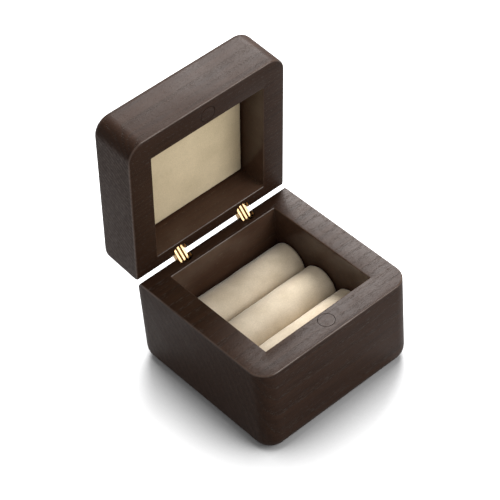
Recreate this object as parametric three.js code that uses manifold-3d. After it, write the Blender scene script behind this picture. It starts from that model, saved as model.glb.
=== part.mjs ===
// A small wooden ring box: a milled base and a milled lid, joined at the back by two concealed
// double-pivot barrel hinges, with three suede rolls in the base to grip rings, and a covered panel in the lid.
// Millimetres, +Z up, the front towards -Y, the hinges at +Y. The lid stands open as the part is built.
import * as THREE from "three";
import { mergeVertices } from "three/addons/utils/BufferGeometryUtils.js";
import Module from "manifold-3d";

const wasm = await Module();
wasm.setup();

// ---- Driving dimensions ----
const boxWidth = 55;
const boxDepth = 56;
const baseHeight = 31.5;
const lidHeight = 15.5;
const cornerRadius = 5.5; // upright corners, seen from above
const baseRounding = 4.4; // lower edges of the base
const lidRounding = 2.4; // upper edges of the lid
const rimEase = 0.4; // small bevel round both rims
const rearChamfer = 4.5; // chamfer on both rear rim edges, inwards
const rearChamferHeight = 6.7; // and away from the rim
const baseSideWall = 8.2;
const baseFrontWall = 7.9;
const baseFloor = 7.1;
const lidSideWall = 7.7;
const lidFrontWall = 8.2;
const lidTop = 4.1;
const rearLand = 4.1; // flat rim between the chamfer and the hollow
const openAngle = THREE.MathUtils.degToRad(85);
const closedGap = 0.3; // between the rims when the lid is shut

// Barrel hinges
const hingeSpacing = 23.4;
const barrelRadius = 2.5;
const barrelLength = 9;
const pivotDrop = 2; // each pivot below its own rim
const plateThickness = 0.95;
const plateRadius = 1.15;
const plateCount = 3;
const pinRadius = 0.5;

// Magnets under flush wooden plugs, in the middle of both front rims
const plugRadius = 2.35;
const plugThickness = 1.5;
const magnetThickness = 2.5;
const magnetFromFront = 4.75;

// Rolls and lining
const rollCount = 3;
const coverThickness = 0.6;
const boardThickness = 1;
const panelFabric = 0.6;

// Clearances
const fitGap = 0.3; // pieces set in a pocket
const pinGap = 0.1; // a pin in a turning plate
const plugGap = 0.15;

// ---- Derived dimensions ----
const hingeY = boxDepth / 2 - rearChamfer;
const baseHollowBack = hingeY - rearLand;
const baseHollowFront = -boxDepth / 2 + baseFrontWall;
const baseHollowDepth = baseHollowBack - baseHollowFront;
const baseHollowY = (baseHollowBack + baseHollowFront) / 2;
const baseHollowWidth = boxWidth - 2 * baseSideWall;
const lidHollowFront = -boxDepth / 2 + lidFrontWall;
const lidHollowDepth = baseHollowBack - lidHollowFront;
const lidHollowY = (baseHollowBack + lidHollowFront) / 2;
const lidHollowWidth = boxWidth - 2 * lidSideWall;
const lidHollowHeight = lidHeight - lidTop;
const magnetY = -boxDepth / 2 + magnetFromFront;
const pivotRise = closedGap / 2 - pivotDrop; // a pivot against its own rim, outwards positive
const linkLength = 2 * pivotDrop;
const holeRadius = barrelRadius + fitGap;
const plugDepth = plugThickness + magnetThickness + 2 * fitGap;
const platePitch = plateThickness + fitGap;
const slotWidth = plateCount * platePitch + fitGap;
const rollPitch = (baseHollowDepth - fitGap) / rollCount;
const rollRadius = (rollPitch - fitGap) / 2;
const rollLength = baseHollowWidth - 2 * fitGap;
const rollZ = baseFloor + 2 * fitGap + boardThickness + rollRadius;
const coreRadius = rollRadius - coverThickness - fitGap;

// ---- Materials ----
function material(color, roughness, metalness = 0) {
  return new THREE.MeshStandardMaterial({ color, roughness, metalness });
}
const darkWood = material(0x3a2d26, 0.55);
const brass = material(0xc8aa6e, 0.3, 1);
const steel = material(0xb9bcc0, 0.3, 1);
const suede = material(0xe4d7be, 0.95);
const foam = material(0xe9e4d8, 0.9);
const card = material(0xb49a76, 0.85);
const panelCloth = material(0xbcac8a, 0.9);

// ---- Solids ----
function solidOf(geometry) {
  const bare = geometry.index ? geometry.toNonIndexed() : geometry.clone();
  bare.deleteAttribute("normal");
  bare.deleteAttribute("uv");
  const merged = mergeVertices(bare, 1e-4);
  return new wasm.Manifold(
    new wasm.Mesh({
      numProp: 3,
      vertProperties: merged.attributes.position.array,
      triVerts: new Uint32Array(merged.index.array),
    }),
  );
}

function geometryOf(solid) {
  const mesh = solid.getMesh();
  const geometry = new THREE.BufferGeometry();
  geometry.setAttribute("position", new THREE.BufferAttribute(mesh.vertProperties, 3));
  geometry.setIndex(new THREE.BufferAttribute(mesh.triVerts, 1));
  const flat = geometry.toNonIndexed();
  flat.computeVertexNormals();
  return flat;
}

function cut(body, tools) {
  return tools.reduce((solid, tool) => solid.subtract(solidOf(tool)), body);
}

// A cuboid from its centre in plan, its lower face and its three sizes.
function slab(width, depth, height, x, y, bottom) {
  return new THREE.BoxGeometry(width, depth, height).translate(x, y, bottom + height / 2);
}

// An upright round bar.
function round(radius, height, x, y, bottom, segments = 32) {
  const bar = new THREE.CylinderGeometry(radius, radius, height, segments);
  return bar.rotateX(Math.PI / 2).translate(x, y, bottom + height / 2);
}

// A round bar along X.
function crossBar(radius, length, segments = 16) {
  return new THREE.CylinderGeometry(radius, radius, length, segments).rotateZ(Math.PI / 2);
}

function roundedPlan() {
  const w = boxWidth / 2;
  const d = boxDepth / 2;
  const r = cornerRadius;
  const plan = new THREE.Shape();
  plan.absarc(w - r, d - r, r, 0, Math.PI / 2);
  plan.absarc(r - w, d - r, r, Math.PI / 2, Math.PI);
  plan.absarc(r - w, r - d, r, Math.PI, Math.PI * 1.5);
  plan.absarc(w - r, r - d, r, Math.PI * 1.5, Math.PI * 2);
  return plan;
}

// The box's plan drawn up from z = 0, with both rims rounded or bevelled by the same size.
function softBlock(height, edge, steps) {
  const block = new THREE.ExtrudeGeometry(roundedPlan(), {
    depth: height - 2 * edge,
    curveSegments: 8,
    bevelThickness: edge,
    bevelSize: edge,
    bevelOffset: -edge,
    bevelSegments: steps,
  });
  return solidOf(block.translate(0, 0, edge));
}

// A block with its far edges rounded and its rim, at z = height, only eased.
function milledBlock(height, rounding) {
  const roundedEnd = softBlock(height + 2 * rounding, rounding, 6);
  const easedRim = softBlock(height + 4, rimEase, 1);
  return roundedEnd.intersect(solidOf(new THREE.BoxGeometry(100, 100, height).translate(0, 0, height / 2)))
    .intersect(easedRim.translate([0, 0, -4]));
}

// The block that cuts the rear chamfer from a rim at z = 0, on a body that lies below it.
function chamferWedge() {
  const side = 20;
  const wedge = new THREE.BoxGeometry(boxWidth + 10, side, 2 * side).translate(0, side / 2, 0);
  return wedge.rotateX(Math.atan2(rearChamfer, rearChamferHeight)).translate(0, hingeY, 0);
}

// What both milled halves lose at their rim, for a body below a rim at z = 0.
function rimCuts() {
  const cuts = [chamferWedge()];
  for (const side of [-1, 1])
    cuts.push(round(holeRadius, barrelLength + fitGap + 1, (side * hingeSpacing) / 2, hingeY, -barrelLength - fitGap));
  cuts.push(round(plugRadius + plugGap, plugDepth + 1, 0, magnetY, -plugDepth));
  return cuts;
}

// Both halves are made rim upwards, with the rim at z = 0.
function half(height, rounding, hollow) {
  const block = milledBlock(height, rounding).translate([0, 0, -height]);
  return geometryOf(cut(block, [...rimCuts(), hollow]));
}

function baseBody() {
  const deep = baseHeight - baseFloor;
  const hollow = slab(baseHollowWidth, baseHollowDepth, deep + 5, 0, baseHollowY, -deep);
  return half(baseHeight, baseRounding, hollow);
}

function lidBody() {
  const hollow = slab(lidHollowWidth, lidHollowDepth, lidHollowHeight + 5, 0, lidHollowY, -lidHollowHeight);
  return half(lidHeight, lidRounding, hollow);
}

// A hinge barrel below its rim: bevelled at the back like the wall, slotted for the plates, cross-drilled for the pin.
function barrel() {
  const body = solidOf(round(barrelRadius, barrelLength, 0, 0, -barrelLength));
  const slotDepth = -pivotRise + plateRadius + fitGap;
  return geometryOf(
    cut(body, [
      chamferWedge().translate(0, -hingeY, 0),
      slab(slotWidth, 10, slotDepth + 5, 0, 0, -slotDepth),
      crossBar(pinRadius + plugGap, 10).translate(0, 0, pivotRise),
    ]),
  );
}

// A link plate from its first pivot at the origin up to its second.
function linkPlate() {
  const outline = new THREE.Shape();
  outline.absarc(0, linkLength, plateRadius, 0, Math.PI);
  outline.absarc(0, 0, plateRadius, Math.PI, Math.PI * 2);
  for (const y of [0, linkLength])
    outline.holes.push(new THREE.Path().absarc(0, y, pinRadius + pinGap, 0, Math.PI * 2, true));
  const plate = new THREE.ExtrudeGeometry(outline, { depth: plateThickness, bevelEnabled: false, curveSegments: 10 });
  return plate.translate(0, 0, -plateThickness / 2).rotateX(Math.PI / 2).rotateZ(Math.PI / 2);
}

// A pin just shorter than the chord of the barrel that it crosses.
function pin() {
  return crossBar(pinRadius, 2 * Math.sqrt(barrelRadius ** 2 - pinRadius ** 2) - 0.1);
}

// An open-ended sleeve along X.
function rollCover() {
  const outer = rollRadius;
  const inner = rollRadius - coverThickness;
  const h = rollLength / 2;
  const section = [
    [inner, -h],
    [outer, -h],
    [outer, h],
    [inner, h],
    [inner, -h],
  ].map(([r, y]) => new THREE.Vector2(r, y));
  return new THREE.LatheGeometry(section, 48).rotateZ(Math.PI / 2);
}

// The cloth of the lid panel: a shallow tray over the board's face and round its four edges.
function panelTray(width, depth, height) {
  const body = solidOf(slab(width, depth, height, 0, 0, 0));
  const inside = slab(width - 2 * panelFabric, depth - 2 * panelFabric, height, 0, 0, -panelFabric);
  return geometryOf(cut(body, [inside]));
}

// ---- Assembly ----
const ringBox = new THREE.Group();

function add(group, name, geometry, look, x = 0, y = 0, z = 0) {
  const mesh = new THREE.Mesh(geometry, look);
  mesh.name = name;
  mesh.position.set(x, y, z);
  group.add(mesh);
  return mesh;
}

// The pieces both halves share, for a group whose origin is in its rim, with the body below.
function fitHalf(group, prefix) {
  for (const [side, x] of [["left", -hingeSpacing / 2], ["right", hingeSpacing / 2]]) {
    add(group, `${prefix}_barrel_${side}`, barrel(), brass, x, hingeY, 0);
    add(group, `${prefix}_pin_${side}`, pin(), steel, x, hingeY, pivotRise);
  }
  const magnetTop = -plugThickness - fitGap;
  const magnet = round(plugRadius, magnetThickness, 0, 0, -magnetThickness);
  add(group, `${prefix}_magnet`, magnet, steel, 0, magnetY, magnetTop);
  add(group, `${prefix}_magnet_plug`, round(plugRadius, plugThickness, 0, 0, -plugThickness), darkWood, 0, magnetY, 0);
}

const base = new THREE.Group();
base.position.z = baseHeight;
ringBox.add(base);
add(base, "base_body", baseBody(), darkWood);
fitHalf(base, "base");

const boardDepth = baseHollowDepth - 2 * fitGap;
const board = slab(rollLength, boardDepth, boardThickness, 0, 0, 0);
add(base, "insert_board", board, card, 0, baseHollowY, baseFloor + fitGap - baseHeight);
["front", "middle", "rear"].forEach((place, i) => {
  const y = baseHollowY + (i - (rollCount - 1) / 2) * rollPitch;
  const z = rollZ - baseHeight;
  add(base, `roll_core_${place}`, crossBar(coreRadius, rollLength - 2 * fitGap, 32), foam, 0, y, z);
  add(base, `roll_cover_${place}`, rollCover(), suede, 0, y, z);
});

// The links turn about the base's pins, and the lid about the links' far ends, by half the opening each.
const links = new THREE.Group();
links.position.set(0, hingeY, baseHeight + pivotRise);
links.rotation.x = -openAngle / 2;
ringBox.add(links);
for (const [side, x] of [["left", -hingeSpacing / 2], ["right", hingeSpacing / 2]])
  ["outer", "middle", "inner"].forEach((place, i) => {
    const offset = (i - (plateCount - 1) / 2) * platePitch * Math.sign(-x);
    add(links, `link_${side}_${place}`, linkPlate(), brass, x + offset, 0, 0);
  });

const lidPivot = new THREE.Group();
lidPivot.position.z = linkLength;
lidPivot.rotation.x = -openAngle / 2;
links.add(lidPivot);

// The lid is made rim upwards too, then turned over about Y so that its rim faces the base.
const lid = new THREE.Group();
lid.position.set(0, -hingeY, pivotRise);
lid.rotation.y = Math.PI;
lidPivot.add(lid);
add(lid, "lid_body", lidBody(), darkWood);
fitHalf(lid, "lid");

const panelHeight = panelFabric + fitGap + boardThickness;
const trayWidth = lidHollowWidth - 2 * fitGap;
const trayDepth = lidHollowDepth - 2 * fitGap;
const tray = panelTray(trayWidth, trayDepth, panelHeight);
add(lid, "lid_panel_cover", tray, panelCloth, 0, lidHollowY, -lidHollowHeight + fitGap);
const cardInset = 2 * (panelFabric + fitGap);
const panelCard = slab(trayWidth - cardInset, trayDepth - cardInset, boardThickness, 0, 0, 0);
add(lid, "lid_panel_board", panelCard, card, 0, lidHollowY, -lidHollowHeight + fitGap);

export default ringBox;
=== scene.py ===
import math

import bmesh
import bpy
import numpy as np
from mathutils import Matrix, Vector, noise


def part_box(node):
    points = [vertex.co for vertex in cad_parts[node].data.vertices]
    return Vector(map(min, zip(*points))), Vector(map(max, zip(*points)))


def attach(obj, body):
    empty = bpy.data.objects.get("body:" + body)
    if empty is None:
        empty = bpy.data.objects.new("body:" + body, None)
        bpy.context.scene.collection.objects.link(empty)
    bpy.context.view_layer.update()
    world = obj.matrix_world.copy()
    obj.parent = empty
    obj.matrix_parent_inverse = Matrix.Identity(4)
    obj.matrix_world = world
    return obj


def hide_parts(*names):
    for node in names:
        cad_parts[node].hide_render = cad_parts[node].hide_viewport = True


# %% [markdown]
# # A small wooden ring box
# The box is two milled blocks of dark stained wood, joined at the back by two little brass barrel
# hinges. The base holds three suede rolls that grip rings between them, and the lid has a cloth-covered
# panel. This notebook starts from the measured model, and dresses each piece in what it is made of.

# %% Open the measured model
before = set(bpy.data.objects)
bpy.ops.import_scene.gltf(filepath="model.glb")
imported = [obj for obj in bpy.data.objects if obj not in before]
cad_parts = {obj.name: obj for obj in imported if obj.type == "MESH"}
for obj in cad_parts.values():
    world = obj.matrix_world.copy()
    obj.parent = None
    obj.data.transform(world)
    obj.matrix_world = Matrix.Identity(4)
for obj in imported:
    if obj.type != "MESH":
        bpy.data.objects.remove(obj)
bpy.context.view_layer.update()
MM = 0.001


def in_mm(point):
    return [round(v / MM, 2) for v in point]


def reach_in_mm(mesh):
    """The lowest and the highest corner of a mesh."""
    return [in_mm([pick(v.co[i] for v in mesh.vertices) for i in range(3)]) for pick in (min, max)]


# %% [markdown]
# ## The camera
# The box is looked at from above its left front corner with a long lens, a little tilted, so that both the
# rolls and the inside of the lid show. It comes first, because every later choice is judged through it.

# %% Camera
AZIMUTH, ELEVATION, ROLL = math.radians(-37.735), math.radians(44.981), math.radians(-5.365)
DISTANCE, LENS, SENSOR_WIDTH, NEAR_CLIP = 0.56495, 148.7484, 36, 0.01
LOOK_AT = Vector((-3.977, 2.411, 43.092)) * MM


def aim_camera():
    level = math.cos(ELEVATION)
    back = Vector((math.sin(AZIMUTH) * level, -math.cos(AZIMUTH) * level, math.sin(ELEVATION)))
    right = (-back).cross(Vector((0, 0, 1))).normalized()
    up = right.cross(-back)
    tilt, keep = math.sin(ROLL), math.cos(ROLL)
    right, up = right * keep + up * tilt, up * keep - right * tilt
    turn = Matrix((right, up, back)).transposed().to_4x4()
    camera = bpy.data.objects.new("camera", bpy.data.cameras.new("camera"))
    camera.matrix_world = Matrix.Translation(LOOK_AT + back * DISTANCE) @ turn
    camera.data.lens, camera.data.sensor_width, camera.data.clip_start = LENS, SENSOR_WIDTH, NEAR_CLIP
    bpy.context.scene.collection.objects.link(camera)
    bpy.context.scene.camera = camera


aim_camera()
print("camera", [round(v, 3) for v in bpy.context.scene.camera.location])

# %% [markdown]
# ## Helpers for trees of nodes
# Every material is a small tree of nodes, and so are the room's light, the floor and the hinge plates. These
# helpers add one node at a time. What a node is given may be a plain number, a colour or a place, or it may
# be the output of another node, which is then linked.


# %% Helpers: nodes
def feed(tree, made, inputs):
    for key, value in inputs.items():
        if hasattr(value, "is_output"):
            tree.links.new(value, made.inputs[key])
        else:
            made.inputs[key].default_value = value
    return made


def node(tree, kind, inputs=None, **settings):
    made = tree.nodes.new(kind)
    for key, value in settings.items():
        setattr(made, key, value)
    return feed(tree, made, inputs or {})


def math_node(tree, operation, a, b=0.0):
    return node(tree, "ShaderNodeMath", {0: a, 1: b}, operation=operation).outputs[0]


def times(tree, a, b):
    return math_node(tree, "MULTIPLY", a, b)


def plus(tree, a, b):
    return math_node(tree, "ADD", a, b)


def vector_math(tree, operation, a, b=(0, 0, 0)):
    made = node(tree, "ShaderNodeVectorMath", {0: a, 1: b}, operation=operation)
    return made.outputs["Value" if operation == "LENGTH" else "Vector"]


print("node helpers ready")


# %% Helpers: patterns and colours
def cloudy(tree, place, scale, detail, roughness=0.5):
    """Noise about 1 / scale metres in size."""
    inputs = {"Vector": place, "Scale": scale, "Detail": detail, "Roughness": roughness}
    return node(tree, "ShaderNodeTexNoise", inputs).outputs["Fac"]


def stretch(tree, value, low, high, to_low=0.0, to_high=1.0):
    """What runs from low to high in value runs from to_low to to_high here."""
    inputs = {"Value": value, "From Min": low, "From Max": high, "To Min": to_low, "To Max": to_high}
    return node(tree, "ShaderNodeMapRange", inputs).outputs[0]


def two_tones(tree, source, dark, light):
    """A colour that is dark where source is 0.3 or less, and light where it is 0.7 or more."""
    made = node(tree, "ShaderNodeValToRGB", {"Fac": source})
    for stop, place, shade in zip(made.color_ramp.elements, (0.3, 0.7), (dark, light)):
        stop.position, stop.color = place, (*shade, 1)
    return made.outputs["Color"]


def mix(tree, factor, under, over, blend="MIX"):
    made = node(tree, "ShaderNodeMix", {0: factor}, data_type="RGBA", blend_type=blend)
    for socket, shade in ((6, under), (7, over)):
        feed(tree, made, {socket: (*shade, 1) if isinstance(shade, tuple) else shade})
    return made.outputs[2]


def bumped(tree, height, strength, depth):
    """The surface's direction, tipped as if height stood up by depth."""
    inputs = {"Height": height, "Strength": strength, "Distance": depth}
    return node(tree, "ShaderNodeBump", inputs).outputs[0]


print("pattern helpers ready")


# %% Helpers: groups and materials
def new_group(name, ins, outs):
    """A node group whose inputs are (label, kind, value), and whose outputs are plain numbers."""
    tree = bpy.data.node_groups.new(name, "ShaderNodeTree")
    for label, kind, value in ins:
        socket = tree.interface.new_socket(label, in_out="INPUT", socket_type="NodeSocket" + kind)
        socket.default_value = value
    for label in outs:
        tree.interface.new_socket(label, in_out="OUTPUT", socket_type="NodeSocketFloat")
    return tree, tree.nodes.new("NodeGroupInput").outputs, tree.nodes.new("NodeGroupOutput")


def use_group(tree, group, inputs):
    return node(tree, "ShaderNodeGroup", inputs, node_tree=group).outputs


def new_material(name):
    made = bpy.data.materials.new(name)
    made.use_nodes = True
    tree = made.node_tree
    where = node(tree, "ShaderNodeTexCoord").outputs["Object"]
    return made, tree, tree.nodes["Principled BSDF"], where


MM_PER_METRE = 1000
print("group helpers ready")

# %% [markdown]
# ## Light and floor
# A product table: a pale floor that runs out of sight, a pale room all round, one large soft light high
# behind the box on the right, which greys the upward faces of the stained wood, and a fill from the front
# right. A floor bright enough to look white would also light the sides of the box, and its shadow would be
# lost. So the floor is a mid grey, and the camera alone sees it and the room brighter: the floor gets a
# painted glow that only the camera sees. Close to the box, where the box hides much of the sky, that glow
# is weaker, so the contact shadow there is partly a painted shadow.

# %% Lights
BOX_MIDDLE = (0, 0, 0.03)
ROOM_STRENGTH = 0.58


def soft_light(name, place, width, watts):
    lamp = bpy.data.lights.new(name, "AREA")
    lamp.shape, lamp.size, lamp.energy = "DISK", width, watts
    obj = bpy.data.objects.new(name, lamp)
    obj.location = place
    obj.rotation_euler = (Vector(BOX_MIDDLE) - Vector(place)).to_track_quat("-Z", "Y").to_euler()
    bpy.context.scene.collection.objects.link(obj)


def pale_room():
    world = bpy.data.worlds.new("pale room")
    world.use_nodes = True
    tree = world.node_tree
    seen = node(tree, "ShaderNodeLightPath").outputs["Is Camera Ray"]
    strength = stretch(tree, seen, 0, 1, ROOM_STRENGTH, 1)
    feed(tree, tree.nodes["Background"], {"Color": (1, 1, 1, 1), "Strength": strength})
    bpy.context.scene.world = world


soft_light("back right", (0.40, 0.36, 0.50), 0.40, 12.0)
soft_light("front fill", (0.32, -0.60, 0.54), 0.62, 4.6)
pale_room()
bpy.context.scene.view_settings.view_transform = "Standard"

# %% Floor
FLOOR_HALF, FLOOR_GREY = 3.0, (0.42, 0.42, 0.423, 1)
CONTACT_REACH, CONTACT_RAYS = 0.022, 24
SHADED, OPEN, FLOOR_LIFT = 0.50, 0.95, 0.93


def floor_paint():
    made, tree, shader, _ = new_material("floor paint")
    sky = node(tree, "ShaderNodeAmbientOcclusion", {"Distance": CONTACT_REACH}, samples=CONTACT_RAYS)
    # Painted shadow: the floor's camera-only glow fades where ambient occlusion finds the box close by.
    lift = stretch(tree, sky.outputs["AO"], SHADED, OPEN, 0, FLOOR_LIFT)
    seen = node(tree, "ShaderNodeLightPath").outputs["Is Camera Ray"]
    glow = {"Emission Color": (1, 1, 1, 1), "Emission Strength": times(tree, lift, seen)}
    feed(tree, shader, {"Base Color": FLOOR_GREY, "Roughness": 0.9, **glow})
    return made


def floor_sheet():
    corners = [(x * FLOOR_HALF, y * FLOOR_HALF, 0) for x, y in ((-1, -1), (1, -1), (1, 1), (-1, 1))]
    mesh = bpy.data.meshes.new("floor")
    mesh.from_pydata(corners, [], [(0, 1, 2, 3)])
    mesh.materials.append(floor_paint())
    floor = bpy.data.objects.new("floor", mesh)
    bpy.context.scene.collection.objects.link(floor)
    return floor


print("floor:", floor_sheet().name, 2 * FLOOR_HALF, "m wide")

# %% [markdown]
# ## Timber figure
# Real wood is a solid: its growth rings are shells round the heart of the tree, so they show as long
# streaks on the faces and as curved lines on the end grain. The group measures the distance from a heart
# line that runs along X, wobbles it a little, and cuts short pores along the same direction. Its height has
# the pores sunk, the streaks barely raised, and the fine scratches of the last sanding.

# %% Node group: timber
ALONG_TRUNK, WOBBLE_SIZE, WOBBLE_MM, LATE_WOOD = 0.04, 60, 5, 2.2
STREAK_SIZE, PORE_SIZE, SANDING_SIZE = (70, 900, 900), 4600, 3000
STREAK_HEIGHT, SANDING_HEIGHT = 0.12, 1.1
TIMBER_INPUTS = [
    ("Place", "Vector", (0, 0, 0)),
    ("Ring width mm", "Float", 2.6),
    ("Pore length mm", "Float", 2.0),
    ("Heart", "Vector", (0, 0.06, -0.05)),
]


def timber_rings(tree, given):
    """How far through its growth ring a point is, from 0 to 1."""
    away = vector_math(tree, "SUBTRACT", given["Place"], given["Heart"])
    across = vector_math(tree, "MULTIPLY", away, (ALONG_TRUNK, 1, 1))
    wobble = times(tree, cloudy(tree, across, WOBBLE_SIZE, 3), WOBBLE_MM)
    radius = times(tree, vector_math(tree, "LENGTH", across), MM_PER_METRE)
    turns = math_node(tree, "DIVIDE", plus(tree, radius, wobble), given["Ring width mm"])
    return math_node(tree, "FRACT", turns)


def timber_pores(tree, given, ring):
    """Short pores along the trunk, which crowd into the early wood of each ring."""
    along = math_node(tree, "DIVIDE", MM_PER_METRE, given["Pore length mm"])
    size = node(tree, "ShaderNodeCombineXYZ", {"X": along, "Y": PORE_SIZE, "Z": PORE_SIZE}).outputs[0]
    place = vector_math(tree, "MULTIPLY", given["Place"], size)
    crowd = plus(tree, cloudy(tree, place, 1, 1.5), stretch(tree, ring, 0.45, 0.0, 0, 0.14))
    return stretch(tree, crowd, 0.62, 0.74)


def timber_group():
    tree, given, end = new_group("timber", TIMBER_INPUTS, ["Rings", "Streaks", "Pores", "Height"])
    ring = timber_rings(tree, given)
    pores = timber_pores(tree, given, ring)
    place = vector_math(tree, "MULTIPLY", given["Place"], STREAK_SIZE)
    streaks = cloudy(tree, place, 1, 4, 0.6)
    sanding = times(tree, cloudy(tree, given["Place"], SANDING_SIZE, 1), SANDING_HEIGHT)
    height = plus(tree, math_node(tree, "SUBTRACT", times(tree, streaks, STREAK_HEIGHT), pores), sanding)
    rings = math_node(tree, "POWER", ring, LATE_WOOD)
    feed(tree, end, {"Rings": rings, "Streaks": streaks, "Pores": pores, "Height": height})
    return tree


TIMBER = timber_group()
print("group:", TIMBER.name, [s.name for s in TIMBER.interface.items_tree])

# %% [markdown]
# ## Handling haze
# Fingers and dust leave a faint cloudy film, stronger in patches. The same mask is used on wood and brass.

# %% Node group: haze
HAZE_INPUTS = [("Place", "Vector", (0, 0, 0)), ("Size mm", "Float", 12.0)]


def haze_group():
    tree, given, end = new_group("haze", HAZE_INPUTS, ["Film"])
    scale = math_node(tree, "DIVIDE", MM_PER_METRE, given["Size mm"])
    cloud = cloudy(tree, given["Place"], scale, 5, 0.6)
    feed(tree, end, {"Film": stretch(tree, cloud, 0.35, 0.75)})
    return tree


HAZE = haze_group()
print("group:", HAZE.name)

# %% [markdown]
# ## Suede nap
# Suede is a mat of very short fibres. Where they lean different ways the cloth looks lighter or darker, in
# soft patches some millimetres wide, with a fine grain over them.

# %% Node group: nap
FIBRE_SIZE, LEAN_HEIGHT = 3200, 0.4
NAP_INPUTS = [("Place", "Vector", (0, 0, 0)), ("Patch mm", "Float", 5.0)]


def nap_group():
    tree, given, end = new_group("nap", NAP_INPUTS, ["Lean", "Grain", "Height"])
    scale = math_node(tree, "DIVIDE", MM_PER_METRE, given["Patch mm"])
    lean = cloudy(tree, given["Place"], scale, 3, 0.55)
    grain = cloudy(tree, given["Place"], FIBRE_SIZE, 2)
    height = plus(tree, times(tree, lean, LEAN_HEIGHT), grain)
    feed(tree, end, {"Lean": lean, "Grain": grain, "Height": height})
    return tree


NAP = nap_group()
print("group:", NAP.name)

# %% [markdown]
# ## Stained wood
# An espresso stain nearly hides the figure. The late rings stay redder and the open pores darker. The
# deepest pores show pale flecks, which are painted glints of light off the pore walls. The two sides of
# the box cut across the trunk, and there the rings show as broken pale lines. Over all lies a thin satin
# lacquer. On the rim's sanded edges it is the same wood, where handling has polished the lacquer and
# thinned the stain; their lighter colour is partly that wear and partly a painted highlight line. The
# milled inside is rougher and warmer. Three masks stored in the mesh say where: eased, hollow and end_grain.

# %% Colours of the stained wood
STAIN_DARK, STAIN_LIGHT = (0.0185, 0.0083, 0.0045), (0.0300, 0.0138, 0.0074)
LATE_RING, OPEN_PORE = (0.0460, 0.0200, 0.0100), (0.0100, 0.0058, 0.0040)
# The pale pore colour on the next line is a painted glint of light off the pore walls.
PORE_GLINT_PAINT, END_LINE = (0.105, 0.088, 0.074), (0.105, 0.083, 0.074)
# The lighter edge colour on the next line is partly thinned stain and partly a painted highlight line along
# the eased edges.
WORN_AND_HIGHLIGHT_STAIN, MILLED_TINT = (0.080, 0.046, 0.030), (1.25, 1.0, 0.72)
# The last value on the next line is the largest share of the painted pore glint, reached in the deepest
# pores.
RING_TINT, PORE_TINT, MOST_PORE_GLINT = 0.22, 0.45, 0.38
print("stain:", STAIN_DARK, "to", STAIN_LIGHT)


# %% Material: stained wood
def stain_colour(tree, timber, end_grain, end_lines):
    stain = two_tones(tree, timber["Streaks"], STAIN_DARK, STAIN_LIGHT)
    stain = mix(tree, times(tree, timber["Rings"], RING_TINT), stain, LATE_RING)
    stain = mix(tree, times(tree, timber["Pores"], PORE_TINT), stain, OPEN_PORE)
    # Painted glints of light: the deepest pores are lightened towards a pale colour.
    stain = mix(tree, stretch(tree, timber["Pores"], 0.72, 1.0, 0, MOST_PORE_GLINT), stain, PORE_GLINT_PAINT)
    lines = plus(tree, times(tree, timber["Rings"], 0.75), 0.25)
    broken = stretch(tree, timber["Streaks"], 0.35, 0.62, 0.25, 1)
    lines = times(tree, times(tree, lines, broken), times(tree, end_grain, end_lines))
    return mix(tree, lines, stain, END_LINE)


def stained_wood(name, heart, ring_width=2.6, pore_length=2.0, rough=0.42, end_lines=0.15, shift=(0, 0, 0)):
    made, tree, shader, where = new_material(name)
    where = node(tree, "ShaderNodeMapping", {"Vector": where, "Location": shift}).outputs[0]
    cut = {"Place": where, "Ring width mm": ring_width, "Pore length mm": pore_length, "Heart": heart}
    timber = use_group(tree, TIMBER, cut)
    film = use_group(tree, HAZE, {"Place": where, "Size mm": 11.0})["Film"]
    eased, hollow, end_grain = [
        node(tree, "ShaderNodeAttribute", attribute_name=mask).outputs["Fac"]
        for mask in ("eased", "hollow", "end_grain")
    ]
    stain = stain_colour(tree, timber, end_grain, end_lines)
    stain = mix(tree, hollow, stain, MILLED_TINT, "MULTIPLY")
    # The eased edges get a lighter colour: partly thinned stain and partly a painted highlight line.
    worn_and_highlight = times(tree, eased, plus(tree, times(tree, film, 0.5), 0.35))
    satin = plus(tree, times(tree, film, 0.1), rough)
    satin = plus(tree, satin, times(tree, timber["Pores"], 0.15))
    satin = plus(tree, satin, times(tree, hollow, 0.3))
    feed(tree, shader, {
        "Base Color": mix(tree, worn_and_highlight, stain, WORN_AND_HIGHLIGHT_STAIN),
        "Roughness": satin,
        "Coat Weight": plus(tree, times(tree, worn_and_highlight, 1.3), 0.02),
        "Normal": bumped(tree, timber["Height"], 0.55, 0.06 * MM),
        "Specular IOR Level": 0.1,
        "Coat Roughness": 0.18,
        "IOR": 1.48,
    })
    return made


BASE_WOOD = stained_wood("base wood", (0, 0.060, -0.020))
LID_WOOD = stained_wood("lid wood", (0, 0.075, 0.01), 1.3, 0.7, 0.5, 0.8, (0.011, 0.004, 0.017))
PLUG_WOOD = stained_wood("plug wood", (0.01, 0.02, 0.03), ring_width=1.4, shift=(0.05, 0.02, 0))
print("woods:", [m.name for m in bpy.data.materials if "wood" in m.name])

# %% [markdown]
# ## The other materials
# Cream microsuede on the rolls and a darker beige one on the lid panel share the nap group. The hinges are
# turned brass with fine tool marks, the pins and magnets plated steel, the boards pressed card, and the
# cores foam.


# %% Material: suede
def suede(name, dark, light, patch, sheen=0.35):
    made, tree, shader, where = new_material(name)
    nap = use_group(tree, NAP, {"Place": where, "Patch mm": patch})
    cloth = two_tones(tree, nap["Lean"], dark, light)
    grain = two_tones(tree, nap["Grain"], (0.82, 0.82, 0.82), (1, 1, 1))
    feed(tree, shader, {
        "Base Color": mix(tree, 0.8, cloth, grain, "MULTIPLY"),
        "Roughness": 0.95,
        "Normal": bumped(tree, nap["Height"], 0.5, 0.08 * MM),
        "Sheen Weight": sheen,
        "Sheen Roughness": 0.5,
        "Specular IOR Level": 0.15,
    })
    return made


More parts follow.
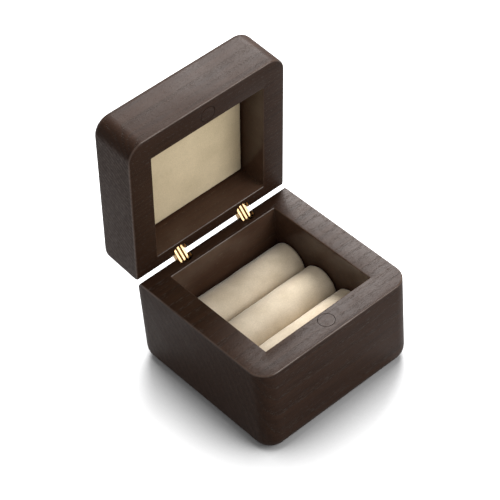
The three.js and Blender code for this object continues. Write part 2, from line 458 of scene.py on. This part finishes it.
ROLL_SUEDE = suede("cream suede", (0.56, 0.465, 0.335), (0.69, 0.59, 0.45), 6.0)
PANEL_SUEDE = suede("beige suede", (0.60, 0.49, 0.31), (0.70, 0.575, 0.375), 9.0, 0.2)
print("cloths:", ROLL_SUEDE.name, PANEL_SUEDE.name)

# %% Material: metals
DULLED = 0.55


def metal(name, colour, rough, line_size):
    """Metal that a film dulls and darkens in patches."""
    made, tree, shader, where = new_material(name)
    film = use_group(tree, HAZE, {"Place": where, "Size mm": 1.5})["Film"]
    lines = cloudy(tree, where, line_size, 2)
    feed(tree, shader, {
        "Base Color": mix(tree, times(tree, film, 0.3), colour, tuple(v * DULLED for v in colour)),
        "Roughness": plus(tree, times(tree, film, 0.2), rough),
        "Normal": bumped(tree, lines, 0.2, 0.02 * MM),
        "Metallic": 1,
    })
    return made


BRASS = metal("brass", (0.60, 0.40, 0.20), 0.24, 5000)
STEEL = metal("plated steel", (0.72, 0.72, 0.74), 0.25, 4000)
print("metals:", BRASS.name, STEEL.name)


# %% Material: card and foam
def plain_fibre(name, dark, light, grain_size):
    made, tree, shader, where = new_material(name)
    grain = cloudy(tree, where, grain_size, 4)
    feed(tree, shader, {
        "Base Color": two_tones(tree, grain, dark, light),
        "Roughness": 0.9,
        "Normal": bumped(tree, grain, 0.4, 0.08 * MM),
    })
    return made


CARD = plain_fibre("pressed card", (0.36, 0.27, 0.17), (0.50, 0.39, 0.26), 900)
FOAM = plain_fibre("foam", (0.74, 0.70, 0.62), (0.86, 0.83, 0.76), 2600)
print("materials:", len(bpy.data.materials))

# %% [markdown]
# ## The two wooden halves
# Each half is one block. Its outside is shaped first: long rounded corners, a big rounding on the far edges
# and a rim that is sanded round by a few tenths of a millimetre. Then a cutter hollows it, which leaves the
# inner corners crisp. Here the surface is drawn as a stack of rounded outlines, from the closed end, up the
# outside, over the rim and down into the hollow, as a potter's profile would be. Exact Booleans then cut
# what crosses those outlines: the chamfer behind the hinges, the hinge holes, and the hole for a magnet.

# %% Sizes of the halves, in millimetres
WIDTH, DEPTH, CORNER = 55, 56, 5.5
CHAMFER, CHAMFER_HEIGHT = 4.5, 6.7
HINGE_Y = DEPTH / 2 - CHAMFER
HOLLOW_BACK, HOLLOW_CORNER = HINGE_Y - 4.1, 0.12
HINGE_X, HOLE_RADIUS, HOLE_DEPTH = 11.7, 2.8, 9.3
PLUG_Y, PLUG_HOLE, PLUG_DEPTH = -DEPTH / 2 + 4.75, 2.5, 4.6
PIVOT, LINK, HALF_OPEN = -1.85, 4.0, math.radians(42.5)
RIM_EASE, HOLLOW_EASE = 0.45, 0.35
BASE = {"height": 31.5, "rounding": 4.4, "side": 8.2, "front": 7.9, "floor": 7.1}
LID = {"height": 15.5, "rounding": 2.4, "side": 7.7, "front": 8.2, "floor": 4.1}
print("hinges at y =", HINGE_Y, "and x =", (-HINGE_X, HINGE_X), "mm")


# %% Outline by outline
def quarter_turn(steps):
    return [math.radians(90 * k / steps) for k in range(steps + 1)]


def outline(half_width, front, back, radius, z, steps=8):
    """A rounded rectangle at height z, always with the same number of points."""
    points = []
    for sx, sy, start in ((1, 1, 0), (-1, 1, 90), (-1, -1, 180), (1, -1, 270)):
        cx, cy = sx * (half_width - radius), (back if sy > 0 else front) - sy * radius
        for k in range(steps + 1):
            a = math.radians(start + 90 * k / steps)
            points.append((cx + radius * math.cos(a), cy + radius * math.sin(a), z))
    return points


def half_outlines(half):
    """The block with its rim at z = 0 and its closed end below."""
    w, d, height, far = WIDTH / 2, DEPTH / 2, half["height"], half["rounding"]
    hollow, front = w - half["side"], -d + half["front"]

    def outside(inset, z):
        return outline(w - inset, -d + inset, d - inset, CORNER - inset, z)

    def inside(out, z):
        return outline(hollow + out, front - out, HOLLOW_BACK + out, HOLLOW_CORNER + out, z)

    rings = []
    for a in quarter_turn(8):
        rings.append(outside(far * (1 - math.sin(a)), far * (1 - math.cos(a)) - height))
    for a in quarter_turn(4):
        rings.append(outside(RIM_EASE * (1 - math.cos(a)), -RIM_EASE * (1 - math.sin(a))))
    for a in quarter_turn(3):
        rings.append(inside(HOLLOW_EASE * (1 - math.sin(a)), -HOLLOW_EASE * (1 - math.cos(a))))
    return rings + [inside(0, half["floor"] - height)]


def lofted(rings):
    shape = bmesh.new()
    loops = [[shape.verts.new(p) for p in ring] for ring in rings]
    for low, high in zip(loops, loops[1:]):
        for i in range(len(low)):
            j = (i + 1) % len(low)
            shape.faces.new((low[i], low[j], high[j], high[i]))
    shape.faces.new(loops[0][::-1])
    shape.faces.new(loops[-1])
    bmesh.ops.recalc_face_normals(shape, faces=shape.faces)
    return shape


print("outlines in a half:", len(half_outlines(BASE)))


# %% Helpers: objects and finished meshes
def object_from(shape, name):
    mesh = bpy.data.meshes.new(name)
    shape.to_mesh(mesh)
    shape.free()
    made = bpy.data.objects.new(name, mesh)
    bpy.context.scene.collection.objects.link(made)
    return made


def settle_modifiers(piece):
    seen = piece.evaluated_get(bpy.context.evaluated_depsgraph_get())
    final = bpy.data.meshes.new_from_object(seen)
    old = piece.data
    piece.modifiers.clear()
    piece.data = final
    bpy.data.meshes.remove(old)


def shade_smooth(mesh):
    mesh.polygons.foreach_set("use_smooth", [True] * len(mesh.polygons))


print("mesh helpers ready")

# %% Cutters: the rear chamfer, the hinge holes and the plug hole
CHAMFER_BLOCK = (WIDTH + 10, 20, 40)
DRILL_SIDES, DRILL_PROUD = 48, 1


def chamfer_cutter():
    """A block longer than the box, leant so that its front face lies along the chamfer."""
    shape = bmesh.new()
    bmesh.ops.create_cube(shape, size=1)
    bmesh.ops.scale(shape, vec=CHAMFER_BLOCK, verts=shape.verts)
    bmesh.ops.translate(shape, vec=(0, CHAMFER_BLOCK[1] / 2, 0), verts=shape.verts)
    lean = Matrix.Rotation(math.atan2(CHAMFER, CHAMFER_HEIGHT), 3, "X")
    bmesh.ops.rotate(shape, matrix=lean, verts=shape.verts)
    bmesh.ops.translate(shape, vec=(0, HINGE_Y, 0), verts=shape.verts)
    return object_from(shape, "chamfer_cutter")


def drill(name, x, y, radius, depth):
    """A cylinder that reaches depth below the rim and stands proud above it."""
    shape = bmesh.new()
    size = {"segments": DRILL_SIDES, "radius1": radius, "radius2": radius, "depth": depth + DRILL_PROUD}
    bmesh.ops.create_cone(shape, cap_ends=True, **size)
    bmesh.ops.translate(shape, vec=(x, y, (DRILL_PROUD - depth) / 2), verts=shape.verts)
    return object_from(shape, name)


def cut_away(block, cutters):
    for cutter in cutters:
        saw = block.modifiers.new(cutter.name, "BOOLEAN")
        saw.operation, saw.solver, saw.object = "DIFFERENCE", "EXACT", cutter
    settle_modifiers(block)
    for cutter in cutters:
        bpy.data.objects.remove(cutter)


print("drills:", HOLE_RADIUS, "and", PLUG_HOLE, "mm radius")

# %% [markdown]
# ## Where each half stands
# The base stands on the floor, rim up. The lid is drawn rim up too, and then turned over and hung on the
# hinge. That hinge has two pivots with a short link between them, and each pivot takes half of the opening.


# %% Places
def base_place():
    return Matrix.Scale(MM, 4) @ Matrix.Translation((0, 0, BASE["height"]))


def lid_place():
    turn = Matrix.Rotation(-HALF_OPEN, 4, "X")
    at_first_pivot = Matrix.Translation((0, HINGE_Y, BASE["height"] + PIVOT)) @ turn
    at_second_pivot = at_first_pivot @ Matrix.Translation((0, 0, LINK)) @ turn
    lid = at_second_pivot @ Matrix.Translation((0, -HINGE_Y, PIVOT)) @ Matrix.Rotation(math.pi, 4, "Y")
    return Matrix.Scale(MM, 4) @ lid


print("lid opened by", round(math.degrees(2 * HALF_OPEN)), "degrees")
print("middle of its rim at", in_mm(lid_place().translation))

# %% Masks for the stain
TOUCH, SIDE_SKIN, NEAR_CHAMFER = 0.01, 0.3, 0.1
HOLLOW_SLACK = 0.05


def mark_places(mesh, half):
    """eased is 1 on the rim's sanded edges, hollow on the inside, and end_grain on the two sides."""
    reach, front = WIDTH / 2 - half["side"] + HOLLOW_SLACK, -DEPTH / 2 + half["front"] - HOLLOW_SLACK
    marks = {"eased": [], "hollow": [], "end_grain": []}
    for vertex in mesh.vertices:
        x, y, z = vertex.co
        within = abs(x) < reach and front < y < HOLLOW_BACK + HOLLOW_SLACK and z > 1 - half["height"]
        on_chamfer = abs((y - HINGE_Y) * CHAMFER_HEIGHT + z * CHAMFER) < NEAR_CHAMFER
        marks["eased"].append(float(TOUCH - RIM_EASE < z < -TOUCH and not on_chamfer))
        marks["hollow"].append(float(within and z < TOUCH - HOLLOW_EASE))
        marks["end_grain"].append(float(abs(x) > WIDTH / 2 - SIDE_SKIN))
    for label, values in marks.items():
        mesh.attributes.new(label, "FLOAT", "POINT").data.foreach_set("value", values)
    return {label: int(sum(values)) for label, values in marks.items()}


print("edges count as eased for", RIM_EASE, "mm below the rim")

# %% Mill and place the halves
SHARP_ANGLE = math.radians(32)


def wooden_half(node_name, name, body, half, place, wood):
    block = object_from(lofted(half_outlines(half)), name)
    cutters = [chamfer_cutter(), drill("plug_drill", 0, PLUG_Y, PLUG_HOLE, PLUG_DEPTH)]
    for side in (-1, 1):
        cutters.append(drill(f"hinge_drill_{side}", side * HINGE_X, HINGE_Y, HOLE_RADIUS, HOLE_DEPTH))
    cut_away(block, cutters)
    print(name, "points in each mask:", mark_places(block.data, half))
    block.data.transform(place)
    block.data.materials.clear()
    block.data.materials.append(wood)
    shade_smooth(block.data)
    block.data.set_sharp_from_angle(angle=SHARP_ANGLE)
    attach(block, body)
    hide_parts(node_name)
    print(name, len(block.data.polygons), "faces, reaches", reach_in_mm(block.data))


wooden_half("base_body", "base_block", "base", BASE, base_place(), BASE_WOOD)
wooden_half("lid_body", "lid_block", "lid", LID, lid_place(), LID_WOOD)

# %% [markdown]
# ## The suede rolls
# Each roll is a strip of suede glued round a soft foam bar. The skin is drawn as a closed roll and given a
# little air pressure as a cloth, so that it goes taut. The roll already fills its room, so this moves it by
# only hundredths of a millimetre, and soft lumps are pushed in afterwards. Last, the rolls press lightly on
# each other.

# %% Sizes of the rolls
ROLL_END, ROWS_ALONG, POINTS_AROUND = 1.1 * MM, 22, 56
MOST_BLOWN, ROLL_REACH, LUMP_HEIGHT = 0.12 * MM, 0.11 * MM, 0.16 * MM
LUMPS_ALONG, LUMPS_AROUND, SEED_STEP = 140, 220, 7.3
ROLL_CLOTH = {
    "quality": 5,
    "mass": 0.2,
    "tension_stiffness": 8,
    "compression_stiffness": 8,
    "bending_stiffness": 0.05,
    "use_pressure": True,
    "uniform_pressure_force": 4,
}
BLOW_FRAMES = 20
print("roll lumps of", round(LUMP_HEIGHT / MM, 2), "mm")


# %% Roll skins
def roll_profile(half, radius):
    """Distance along the roll and distance from its middle line, from one end to the other."""
    long, thick = half - ROLL_END, radius - ROLL_END
    bend = np.linspace(0, math.pi / 2, 6)
    rounded = [(long + ROLL_END * math.sin(t), thick + ROLL_END * math.cos(t)) for t in bend]
    flat_end = [(half, thick * s) for s in (0.75, 0.5, 0.25)]
    straight = [(x, radius) for x in np.linspace(0, long, ROWS_ALONG)[:-1]]
    right = straight + rounded + flat_end
    return [(-x, r) for x, r in right[:0:-1]] + right


def roll_skin(node_name):
    low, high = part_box(node_name)
    middle = (Vector(low) + Vector(high)) / 2
    radius, half = (high[2] - low[2]) / 2, (high[0] - low[0]) / 2
    line = roll_profile(half, radius)
    points, faces = [], []
    for x, r in line:
        for k in range(POINTS_AROUND):
            a = 2 * math.pi * k / POINTS_AROUND
            points.append((middle.x + x, middle.y + r * math.cos(a), middle.z + r * math.sin(a)))
    last = len(points) - POINTS_AROUND
    points += [(middle.x - half, middle.y, middle.z), (middle.x + half, middle.y, middle.z)]
    steps = [(k, (k + 1) % POINTS_AROUND) for k in range(POINTS_AROUND)]
    for row in range(0, last, POINTS_AROUND):
        beyond = row + POINTS_AROUND
        faces += [(row + k, row + j, beyond + j, beyond + k) for k, j in steps]
    faces += [(len(points) - 2, j, k) for k, j in steps]
    faces += [(len(points) - 1, last + k, last + j) for k, j in steps]
    mesh = bpy.data.meshes.new(node_name + "_skin")
    mesh.from_pydata(points, [], faces)
    shape = bmesh.new()
    shape.from_mesh(mesh)
    bpy.data.meshes.remove(mesh)
    bmesh.ops.recalc_face_normals(shape, faces=shape.faces)
    return object_from(shape, node_name + "_skin"), middle, radius


print("points in a roll's profile:", len(roll_profile(20 * MM, 5 * MM)))


# %% Blow up and press
def blow_up(skin):
    """Cloth under light pressure. Returns how far the furthest point went."""
    before = np.array([v.co[:] for v in skin.data.vertices])
    cloth = skin.modifiers.new("cloth", "CLOTH")
    for key, value in ROLL_CLOTH.items():
        setattr(cloth.settings, key, value)
    cloth.settings.effector_weights.gravity = 0
    cloth.point_cache.frame_start, cloth.point_cache.frame_end = 1, BLOW_FRAMES
    for step in range(1, BLOW_FRAMES + 1):
        bpy.context.scene.frame_set(step)
    seen = skin.evaluated_get(bpy.context.evaluated_depsgraph_get())
    after = np.array([v.co[:] for v in seen.data.vertices])
    skin.modifiers.remove(cloth)
    bpy.context.scene.frame_set(1)
    move = after - before
    far = np.linalg.norm(move, axis=1, keepdims=True)
    move *= np.minimum(1, MOST_BLOWN / np.maximum(far, 1e-12))
    skin.data.vertices.foreach_set("co", (before + move).ravel())
    return float(far.max())


def press(skin, middle, radius, seed):
    """Soft lumps, a flatter underside, and sides that just meet the next roll."""
    reach = radius + ROLL_REACH
    for vertex in skin.data.vertices:
        point = vertex.co - middle
        spot = Vector((point.x * LUMPS_ALONG, point.y * LUMPS_AROUND, point.z * LUMPS_AROUND))
        lump = noise.noise(spot + Vector((seed * SEED_STEP, 0, 0)))
        out = Vector((0, point.y, point.z))
        if out.length > 0.3 * radius:
            point += out.normalized() * lump * LUMP_HEIGHT
        point.y = max(-reach, min(reach, point.y))
        point.z = max(-radius, point.z)
        vertex.co = middle + point


def suede_roll(place, seed):
    skin, middle, radius = roll_skin("roll_cover_" + place)
    moved = blow_up(skin)
    press(skin, middle, radius, seed)
    skin.data.materials.append(ROLL_SUEDE)
    shade_smooth(skin.data)
    smooth = skin.modifiers.new("smooth", "SUBSURF")
    smooth.levels = smooth.render_levels = 1
    settle_modifiers(skin)
    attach(skin, "base")
    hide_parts("roll_cover_" + place)
    print(skin.name, "moved", round(moved / MM, 3), "mm,", len(skin.data.polygons), "faces")


for seed, place in enumerate(("front", "middle", "rear"), start=1):
    suede_roll(place, seed)

# %% [markdown]
# ## The lid panel
# A square of beige cloth is drawn over a card and its edges are turned down all round, then it is glued
# into the lid. It could be a flat slab, but what tells it as cloth is the soft turned edge and the slightly
# slack face, so the sheet is drawn as rings that shrink from the turned edge towards the middle.

# %% Sizes of the panel, in millimetres, rim at z = 0
PANEL_HALF_WIDTH, PANEL_FRONT, PANEL_BACK = 19.5, -19.5, 19.1
PANEL_BOTTOM, PANEL_TOP, PANEL_TURN = -11.1, -9.2, 0.55
PANEL_CORNER, FACE_CORNER, EDGE_LIFT, CLOTH_WALL = 0.8, 0.25, 0.3, 0.5
FACE_INSETS = (1.2, 2.2, 4, 7, 10.5, 14.5, 18.3)
print("panel", 2 * PANEL_HALF_WIDTH, "by", PANEL_BACK - PANEL_FRONT, "mm")


# %% Cloth drawn over the card
def panel_ring(inset, corner, z):
    return outline(PANEL_HALF_WIDTH - inset, PANEL_FRONT + inset, PANEL_BACK - inset, corner, z)


def panel_rings():
    rings = [panel_ring(0, PANEL_CORNER, PANEL_BOTTOM + EDGE_LIFT)]
    for a in quarter_turn(4):
        inset = PANEL_TURN * (1 - math.cos(a))
        rings.append(panel_ring(inset, PANEL_CORNER - inset, PANEL_TOP - PANEL_TURN * (1 - math.sin(a))))
    for inset in FACE_INSETS:
        slack = 0.12 * math.exp(-inset / 1.5) - 0.1
        rings.append(panel_ring(inset, FACE_CORNER, PANEL_TOP + slack))
    return rings


def panel_cloth():
    shape = lofted(panel_rings())
    for face in [f for f in shape.faces if len(f.verts) > 4]:
        if face.calc_center_median().z < PANEL_BOTTOM + 0.4:
            shape.faces.remove(face)
    cloth = object_from(shape, "lid_panel_sheet")
    cloth.data.transform(lid_place())
    cloth.data.materials.append(PANEL_SUEDE)
    shade_smooth(cloth.data)
    wall = cloth.modifiers.new("cloth thickness", "SOLIDIFY")
    wall.thickness, wall.offset = CLOTH_WALL * MM, -1
    settle_modifiers(cloth)
    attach(cloth, "lid")
    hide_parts("lid_panel_cover")


panel_cloth()

# %% [markdown]
# ## Hinge plates
# Each hinge is two barrels joined by a pack of three pressed plates, pierced at both ends for the pins. The
# plates are all alike, so one is drawn and Geometry Nodes lays it out in packs: a row of three at each
# hinge. The tree draws the outline, fills it round its two holes, and gives it its thickness.

# %% Node tree: its named sizes, in millimetres
PLATE_SIZES = {
    "Plate radius": 1.15,
    "Hole radius": 0.6,
    "Pivot distance": LINK,
    "Thickness": 0.95,
    "Pitch": 1.25,
    "Hinge spacing": 2 * HINGE_X,
    "Lean": -HALF_OPEN,
}
RIM_POINTS, HOLE_POINTS, PLATES_EACH, HINGES = 48, 24, 3, 2


def plate_tree():
    tree = bpy.data.node_groups.new("hinge plates", "GeometryNodeTree")

    def new_socket(label, kind, way="INPUT"):
        return tree.interface.new_socket(label, in_out=way, socket_type="NodeSocket" + kind)

    new_socket("Geometry", "Geometry")
    for label, value in PLATE_SIZES.items():
        new_socket(label, "Float").default_value = value
    new_socket("Plates", "Int").default_value = PLATES_EACH
    new_socket("First pivot", "Vector")
    new_socket("Finish", "Material")
    new_socket("Geometry", "Geometry", "OUTPUT")
    return tree, tree.nodes.new("NodeGroupInput").outputs, tree.nodes.new("NodeGroupOutput")


print("plate sizes:", PLATE_SIZES)


# %% Node tree: one plate
def moved(tree, geometry, **how):
    return node(tree, "GeometryNodeTransform", {"Geometry": geometry, **how}).outputs[0]


def along(tree, axis, distance):
    return node(tree, "ShaderNodeCombineXYZ", {axis: distance}).outputs[0]


def circle(tree, radius, points):
    inputs = {"Radius": radius, "Resolution": points}
    return node(tree, "GeometryNodeCurvePrimitiveCircle", inputs).outputs[0]


def joined(tree, *parts):
    made = node(tree, "GeometryNodeJoinGeometry")
    for part in parts:
        tree.links.new(part, made.inputs[0])
    return made.outputs[0]


def one_plate(tree, given):
    """The pierced plate, lying flat with its first hole at the origin and the second up along Y."""
    place = node(tree, "GeometryNodeInputPosition").outputs[0]
    y = node(tree, "ShaderNodeSeparateXYZ", {0: place}).outputs["Y"]
    upper = node(tree, "FunctionNodeCompare", {"A": y, "B": 0.0}, operation="GREATER_EQUAL").outputs[0]
    reach = along(tree, "Y", given["Pivot distance"])
    rim = {"Geometry": circle(tree, given["Plate radius"], RIM_POINTS), "Selection": upper, "Offset": reach}
    rim = node(tree, "GeometryNodeSetPosition", rim).outputs[0]
    hole = circle(tree, given["Hole radius"], HOLE_POINTS)
    drawn = joined(tree, rim, hole, moved(tree, hole, Translation=reach))
    face = node(tree, "GeometryNodeFillCurve", {"Curve": drawn}).outputs[0]
    thick = {"Mesh": face, "Offset Scale": given["Thickness"], "Individual": False}
    raised = node(tree, "GeometryNodeExtrudeMesh", thick).outputs[0]
    under = node(tree, "GeometryNodeFlipFaces", {"Mesh": face}).outputs[0]
    closed = joined(tree, raised, under)
    return node(tree, "GeometryNodeMergeByDistance", {"Geometry": closed, "Distance": 0.001}).outputs[0]


print("one plate:", round(PLATE_SIZES["Thickness"], 2), "mm thick")


# %% Node tree: packs of plates at both hinges
def row_along_x(tree, thing, count, pitch):
    """Copies of thing on a line along X, centred on the origin."""
    span = times(tree, pitch, math_node(tree, "SUBTRACT", count, 1.0))
    start, step = along(tree, "X", times(tree, span, -0.5)), along(tree, "X", pitch)
    inputs = {"Count": count, "Start Location": start, "Offset": step}
    line = node(tree, "GeometryNodeMeshLine", inputs, mode="OFFSET").outputs[0]
    return node(tree, "GeometryNodeInstanceOnPoints", {"Points": line, "Instance": thing}).outputs[0]


def finish_plates(tree, given, end):
    middle = along(tree, "Z", times(tree, given["Thickness"], -0.5))
    plate = moved(tree, one_plate(tree, given), Translation=middle)
    upright = moved(tree, plate, Rotation=(math.pi / 2, 0, math.pi / 2))
    pack = row_along_x(tree, upright, given["Plates"], given["Pitch"])
    hinges = row_along_x(tree, pack, HINGES, given["Hinge spacing"])
    lean = along(tree, "X", given["Lean"])
    leaned = moved(tree, hinges, Rotation=lean, Translation=given["First pivot"])
    metres = moved(tree, leaned, Scale=(MM, MM, MM))
    real = node(tree, "GeometryNodeRealizeInstances", {"Geometry": metres}).outputs[0]
    done = node(tree, "GeometryNodeSetMaterial", {"Geometry": real, "Material": given["Finish"]}).outputs[0]
    tree.links.new(done, end.inputs[0])


PLATE_TREE, given, end = plate_tree()
finish_plates(PLATE_TREE, given, end)
print("tree:", PLATE_TREE.name, "inputs:", given.keys())

# %% Lay out the plates and make them a plain mesh
TUMBLED, TUMBLED_STEPS, TUMBLED_ANGLE = 0.25 * MM, 4, math.radians(50)
PLATE_SHARP_ANGLE = math.radians(35)


def set_input(modifier, label, value):
    sockets = modifier.node_group.interface.items_tree
    socket = next(s for s in sockets if s.name == label and s.in_out == "INPUT")
    modifier[socket.identifier] = value


def lay_out_plates():
    plates = bpy.data.objects.new("hinge_plates", bpy.data.meshes.new("hinge_plates"))
    bpy.context.scene.collection.objects.link(plates)
    layout = plates.modifiers.new("plates", "NODES")
    layout.node_group = PLATE_TREE
    set_input(layout, "First pivot", (0.0, HINGE_Y, BASE["height"] + PIVOT))
    set_input(layout, "Finish", BRASS)
    settle_modifiers(plates)
    edges = plates.modifiers.new("tumbled edges", "BEVEL")
    edges.width, edges.segments = TUMBLED, TUMBLED_STEPS
    edges.limit_method, edges.angle_limit = "ANGLE", TUMBLED_ANGLE
    settle_modifiers(plates)
    shade_smooth(plates.data)
    plates.data.set_sharp_from_angle(angle=PLATE_SHARP_ANGLE)
    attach(plates, "hinge_links")
    links = [f"link_{side}_{place}" for side in ("left", "right") for place in ("outer", "middle", "inner")]
    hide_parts(*links)
    print("plates:", len(plates.data.polygons), "faces, reach", reach_in_mm(plates.data))


lay_out_plates()

# %% [markdown]
# ## Dress the small pieces
# Barrels, pins, magnets, magnet plugs, foam cores and boards keep their measured shapes, and only get their
# materials. Each is known by a word in its name.

# %% Materials for the measured pieces
WANTED = {"barrel": BRASS, "pin": STEEL, "plug": PLUG_WOOD, "magnet": STEEL, "core": FOAM, "board": CARD}


def dress(name, piece):
    look = next((material for word, material in WANTED.items() if word in name), None)
    if look:
        piece.data.materials.clear()
        piece.data.materials.append(look)
    return bool(look)


print("dressed", sum(dress(name, piece) for name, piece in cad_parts.items()), "measured pieces")
